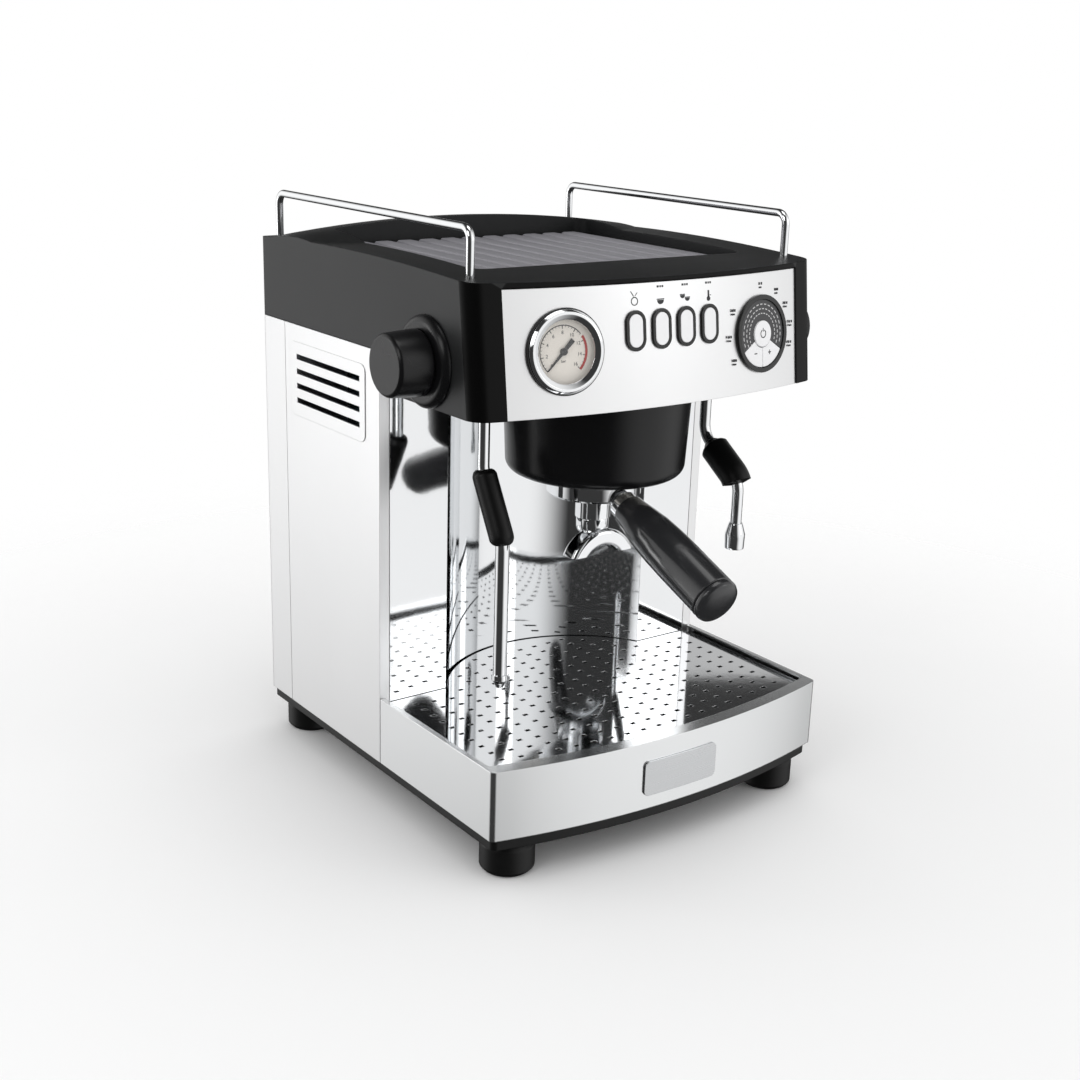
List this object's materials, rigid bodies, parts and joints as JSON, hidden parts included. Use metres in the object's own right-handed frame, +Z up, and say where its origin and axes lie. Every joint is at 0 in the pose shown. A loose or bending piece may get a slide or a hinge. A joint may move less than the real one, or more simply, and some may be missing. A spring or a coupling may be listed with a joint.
{
  "type": "espresso machine",
  "caption": "Free-standing pump espresso machine with steel body, black crowned top, twin-spout portafilter, steam wand, hot water wand, gauge, control panel and pull-out drip tray.",
  "frame": {"origin": "on the ground under the feet, at the middle of the overall footprint", "axes": "+Z up, the front with the fascia and drip tray faces -Y, +X to the right seen from the front"},
  "size_m": [0.364, 0.3773, 0.436],
  "materials": {
    "base_plastic": "fine matt grain",
    "foot_rubber": "matt",
    "zinc_sheet": "plain zinc sheet",
    "satin_steel": "satin",
    "polished_steel": "polished, mirror-like",
    "screw_steel": "plain",
    "inlet_plastic": "matt",
    "shell_plastic": "satin charcoal",
    "tray_metal": "satin anodised",
    "chrome": "polished",
    "gauge_black": "gloss black",
    "gauge_card": "matt cream",
    "gauge_glass": "clear",
    "bezel_black": "gloss black",
    "button_white": "satin white",
    "dial_grey": "grained dark grey",
    "board_green": "solder mask",
    "cover_black": "satin gloss black",
    "group_brass": "nickel plated",
    "gasket_rubber": "matt",
    "boiler_steel": "plain",
    "boiler_copper": "copper",
    "pump_plastic": "glass-filled nylon and brass",
    "tank_plastic": "clear smoked plastic",
    "pipe_plastic": "translucent hose",
    "valve_brass": "machined",
    "grip_rubber": "satin black",
    "handle_plastic": "polished dark grey",
    "badge_metal": "brushed"
  },
  "bodies": {
    "machine": {"base_pan": "base_plastic", "feet": "foot_rubber", "chassis": "zinc_sheet", "side_panel_left": "satin_steel", "side_panel_right": "satin_steel", "rear_cover": "satin_steel", "case_screws": "screw_steel", "power_inlet": "inlet_plastic", "backsplash": "polished_steel", "top_shell": "shell_plastic", "cup_rail_left": "chrome", "cup_rail_right": "chrome", "fascia": "satin_steel", "gauge_can": "gauge_black", "gauge_bezel": "chrome", "gauge_dial": "gauge_card", "gauge_glass": "gauge_glass", "button_bezels": "bezel_black", "dial_bezel": "bezel_black", "dial_ring": "dial_grey", "panel_board": "board_green", "group_cover": "cover_black", "group_head": "group_brass", "group_gasket": "gasket_rubber", "shower_screen": "screw_steel", "brew_boiler": "boiler_steel", "steam_boiler": "boiler_copper", "pump": "pump_plastic", "water_tank": "tank_plastic", "water_pipes": "pipe_plastic", "wand_valves": "valve_brass", "knob_escutcheons": "cover_black", "wand_sockets": "chrome"},
    "cup_tray": {"cup_tray": "tray_metal"},
    "gauge_pointer": {"gauge_needle": "gauge_black"},
    "power_key": {"power_button": "button_white"},
    "one_cup_key": {"one_cup_button": "button_white"},
    "two_cup_key": {"two_cup_button": "button_white"},
    "steam_key": {"steam_button": "button_white"},
    "centre_key": {"dial_centre_button": "button_white"},
    "minus_key": {"dial_minus_button": "button_white"},
    "plus_key": {"dial_plus_button": "button_white"},
    "steam_tap": {"steam_knob": "cover_black"},
    "water_tap": {"water_knob": "cover_black"},
    "steam_joint": {"steam_wand_ball": "chrome"},
    "steam_arm": {"steam_wand": "chrome", "steam_wand_grip": "grip_rubber", "steam_nozzle": "chrome"},
    "water_arm": {"water_wand": "chrome", "water_wand_grip": "grip_rubber", "water_nozzle": "chrome"},
    "portafilter": {"portafilter_body": "chrome", "filter_basket": "screw_steel", "portafilter_spout": "chrome", "portafilter_handle": "handle_plastic", "handle_cap": "handle_plastic"},
    "tray": {"drip_tray": "base_plastic", "tray_front": "polished_steel", "badge_plate": "badge_metal"},
    "grid": {"drip_grid": "polished_steel"}
  },
  "joints": [
    {"name": "portafilter_turn", "type": "hinge", "parent": "machine", "child": "portafilter", "pos_m": [0, -0.042, 0.24], "axis": [0, 0, 1], "range_deg": [-45, 0]},
    {"name": "steam_wand_swivel", "type": "hinge", "parent": "machine", "child": "steam_joint", "pos_m": [-0.101, -0.047, 0.306], "axis": [0, 0, 1], "range_deg": [-30, 30]},
    {"name": "steam_wand_swing", "type": "hinge", "parent": "steam_joint", "child": "steam_arm", "pos_m": [-0.101, -0.047, 0.306], "axis": [0, 1, 0], "range_deg": [0, 30]},
    {"name": "water_wand_swivel", "type": "hinge", "parent": "machine", "child": "water_arm", "pos_m": [0.101, -0.047, 0.306], "axis": [0, 0, 1], "range_deg": [-25, 40]},
    {"name": "steam_knob_turn", "type": "hinge", "parent": "machine", "child": "steam_tap", "pos_m": [-0.15, -0.051, 0.345], "axis": [-1, 0, 0], "range_deg": [0, 270]},
    {"name": "water_knob_turn", "type": "hinge", "parent": "machine", "child": "water_tap", "pos_m": [0.15, -0.051, 0.345], "axis": [1, 0, 0], "range_deg": [0, 270]},
    {"name": "gauge_needle_turn", "type": "hinge", "parent": "machine", "child": "gauge_pointer", "pos_m": [-0.0854, -0.11479, 0.35645], "axis": [0.1423, 0.9825, -0.1198], "range_deg": [0, 270]},
    {"name": "power_press", "type": "slide", "parent": "machine", "child": "power_key", "axis": [0.0523, 0.9913, -0.1208], "range_m": [0, 0.0015], "stiffness_N_per_m": 300},
    {"name": "one_cup_press", "type": "slide", "parent": "machine", "child": "one_cup_key", "axis": [0.0163, 0.9925, -0.121], "range_m": [0, 0.0015], "stiffness_N_per_m": 300},
    {"name": "two_cup_press", "type": "slide", "parent": "machine", "child": "two_cup_key", "axis": [-0.0197, 0.9925, -0.121], "range_m": [0, 0.0015], "stiffness_N_per_m": 300},
    {"name": "steam_press", "type": "slide", "parent": "machine", "child": "steam_key", "axis": [-0.0557, 0.9911, -0.1208], "range_m": [0, 0.0015], "stiffness_N_per_m": 300},
    {"name": "centre_press", "type": "slide", "parent": "machine", "child": "centre_key", "axis": [-0.145, 0.9822, -0.1197], "range_m": [0, 0.001], "stiffness_N_per_m": 300},
    {"name": "minus_press", "type": "slide", "parent": "machine", "child": "minus_key", "axis": [-0.145, 0.9822, -0.1197], "range_m": [0, 0.001], "stiffness_N_per_m": 300},
    {"name": "plus_press", "type": "slide", "parent": "machine", "child": "plus_key", "axis": [-0.145, 0.9822, -0.1197], "range_m": [0, 0.001], "stiffness_N_per_m": 300},
    {"name": "drip_tray_slide", "type": "slide", "parent": "machine", "child": "tray", "axis": [0, -1, 0], "range_m": [0, 0.15]},
    {"name": "drip_grid_lift", "type": "slide", "parent": "tray", "child": "grid", "axis": [0, 0, 1], "range_m": [0, 0.025]},
    {"name": "cup_tray_lift", "type": "slide", "parent": "machine", "child": "cup_tray", "axis": [0, 0, 1], "range_m": [0, 0.03]}
  ]
}
